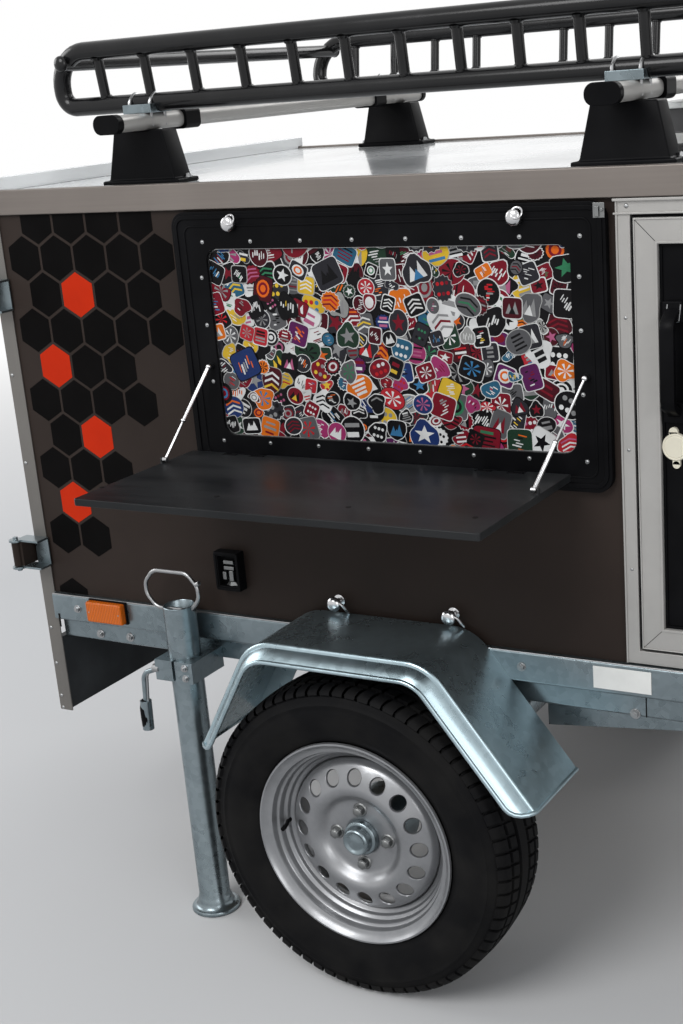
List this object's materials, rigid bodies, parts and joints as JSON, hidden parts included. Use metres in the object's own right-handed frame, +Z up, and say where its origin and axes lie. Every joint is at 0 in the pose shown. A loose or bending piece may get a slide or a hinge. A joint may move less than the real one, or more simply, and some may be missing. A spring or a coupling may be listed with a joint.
{
  "type": "small box camping trailer with roof rack and side hatch table",
  "caption": "Boxy single-axle camping trailer with a flat white roof, basket rack, side door, fold-down hatch table, rear doors and V drawbar.",
  "frame": {"origin": "middle of the overall length and width, on the ground", "axes": "+X forwards to the coupling, +Y to the left side, +Z up"},
  "size_m": [3.105, 1.609, 1.6055],
  "materials": {
    "panel": "satin brown-black panel with darker and orange six-sided decals",
    "roof": "glossy white",
    "edge_profile": "warm grey anodised",
    "frame_profile": "satin anodised",
    "galvanised": "galvanised, faint spangle",
    "black_steel": "black powder coat",
    "black_plastic": "matte moulded",
    "table_top": "satin black sheet",
    "artwork": "glossy printed collage of plain coloured shapes",
    "chrome": "polished",
    "cream": "cream moulding",
    "tyre": "rubber",
    "rim_paint": "silver paint",
    "amber": "amber lens",
    "red_lens": "red lens",
    "plate": "blank white",
    "board": "dark grey board",
    "floor_board": "sealed plywood"
  },
  "bodies": {
    "trailer": {"chassis_rails": "galvanised", "cross_members": "galvanised", "drawbar_right": "galvanised", "drawbar_left": "galvanised", "drawbar_plates": "galvanised", "coupling_head": "galvanised", "coupling_lever": "black_plastic", "axle_beam": "galvanised", "front_posts": "frame_profile", "rear_posts": "galvanised", "roof_edge": "edge_profile", "roof_panel": "roof", "rear_header": "roof", "roof_vent": "roof", "floor_panel": "floor_board", "front_panel": "panel", "side_panel_right": "panel", "side_panel_left": "panel", "door_surround": "frame_profile", "hinge_blocks": "galvanised", "hatch_frame": "black_plastic", "hatch_panel": "artwork", "hatch_catches": "chrome", "tie_hooks": "chrome", "socket_box": "black_plastic", "side_markers": "amber", "blank_plate": "plate", "lamp_board": "board", "rear_lamps": "red_lens", "rack_feet": "black_plastic", "crossbars": "frame_profile", "crossbar_caps": "black_plastic", "basket": "black_steel", "basket_clamps": "galvanised", "prop_clamp_right": "galvanised", "prop_clamp_left": "galvanised", "jockey_clamp": "galvanised", "mudguard_right": "galvanised", "mudguard_left": "galvanised"},
    "wheel_right": {"tyre_right": "tyre", "rim_right": "rim_paint", "hub_right": "galvanised"},
    "wheel_left": {"tyre_left": "tyre", "rim_left": "rim_paint", "hub_left": "galvanised"},
    "side_door": {"door_leaf": "frame_profile", "door_panel": "black_plastic", "door_handle": "black_plastic", "key_cover": "cream"},
    "rear_leaf_right": {"rear_door_right": "panel", "rear_lock": "galvanised"},
    "rear_leaf_left": {"rear_door_left": "panel"},
    "table": {"table_leaf": "table_top"},
    "stay_rear_rod": {"stay_rear": "chrome"},
    "stay_front_rod": {"stay_front": "chrome"},
    "stand_right": {"prop_stand_right": "galvanised"},
    "stand_left": {"prop_stand_left": "galvanised"},
    "jockey_post": {"jockey_leg": "galvanised"},
    "jockey_caster": {"jockey_fork": "galvanised"},
    "jockey_roller": {"jockey_wheel": "black_plastic"}
  },
  "joints": [
    {"name": "wheel_right_spin", "type": "hinge", "parent": "trailer", "child": "wheel_right", "pos_m": [-0.7225, -0.5815, 0.289], "axis": [0, 1, 0], "continuous": true},
    {"name": "wheel_left_spin", "type": "hinge", "parent": "trailer", "child": "wheel_left", "pos_m": [-0.7225, 0.7185, 0.289], "axis": [0, 1, 0], "continuous": true},
    {"name": "side_door_swing", "type": "hinge", "parent": "trailer", "child": "side_door", "pos_m": [0.3655, -0.4705, 0.95], "axis": [0, 0, 1], "range_deg": [0, 110]},
    {"name": "rear_leaf_right_swing", "type": "hinge", "parent": "trailer", "child": "rear_leaf_right", "pos_m": [-1.5345, -0.4915, 0.95], "axis": [0, 0, 1], "range_deg": [0, 180]},
    {"name": "rear_leaf_left_swing", "type": "hinge", "parent": "trailer", "child": "rear_leaf_left", "pos_m": [-1.5345, 0.6285, 0.95], "axis": [0, 0, -1], "range_deg": [0, 180]},
    {"name": "table_fold", "type": "hinge", "parent": "trailer", "child": "table", "pos_m": [-0.7225, -0.4915, 0.908], "axis": [-1, 0, 0], "range_deg": [0, 90]},
    {"name": "stay_rear_swing", "type": "hinge", "parent": "table", "child": "stay_rear_rod", "pos_m": [-1.0795, -0.5725, 0.9195], "axis": [1, 0, 0], "range_deg": [0, 122.79]},
    {"name": "stay_front_swing", "type": "hinge", "parent": "table", "child": "stay_front_rod", "pos_m": [-0.3795, -0.6015, 0.9195], "axis": [1, 0, 0], "range_deg": [0, 130.25]},
    {"name": "stand_right_slide", "type": "slide", "parent": "trailer", "child": "stand_right", "axis": [0, 0, 1], "range_m": [0, 0.3]},
    {"name": "stand_left_slide", "type": "slide", "parent": "trailer", "child": "stand_left", "axis": [0, 0, 1], "range_m": [0, 0.3]},
    {"name": "jockey_slide", "type": "slide", "parent": "trailer", "child": "jockey_post", "axis": [0, 0, 1], "range_m": [0, 0.2]},
    {"name": "jockey_swivel", "type": "hinge", "parent": "jockey_post", "child": "jockey_caster", "pos_m": [0.9775, -0.1365, 0.225], "axis": [0, 0, 1], "continuous": true},
    {"name": "jockey_roll", "type": "hinge", "parent": "jockey_caster", "child": "jockey_roller", "pos_m": [0.9325, -0.1365, 0.1], "axis": [0, 1, 0], "continuous": true}
  ],
  "couplings": [
    {"joint": "stay_rear_swing", "follows": "table_fold", "ratio": 1.3643},
    {"joint": "stay_front_swing", "follows": "table_fold", "ratio": 1.4472}
  ]
}
